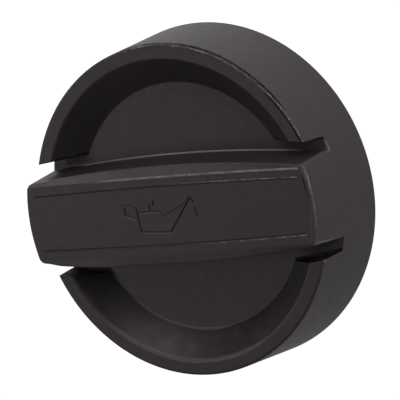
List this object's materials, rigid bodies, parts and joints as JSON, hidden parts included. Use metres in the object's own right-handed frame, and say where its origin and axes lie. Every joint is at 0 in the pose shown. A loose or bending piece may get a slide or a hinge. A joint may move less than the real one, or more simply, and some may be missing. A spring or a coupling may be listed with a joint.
{
  "type": "oil filler cap",
  "caption": "Round moulded oil filler cap with a full-width grip bar between dished finger wells, slots at the bar's ends, and a bayonet plug with a seal ring underneath.",
  "frame": {"origin": "on the cap's axis, in the plane of the plug's open end, which is the lowest plane of the part", "axes": "+Z along the axis, out of the face with the grip bar; X along the grip bar; Y across it"},
  "size_m": [0.0678, 0.0678, 0.03],
  "materials": {
    "shell_plastic": "satin, finely grained charcoal moulding with worn bright edges",
    "plug_plastic": "satin black moulding",
    "seal_rubber": "smooth matt black rubber"
  },
  "bodies": {
    "root": {"cap_shell": "shell_plastic", "bayonet_plug": "plug_plastic", "seal_ring": "seal_rubber"}
  },
  "joints": []
}
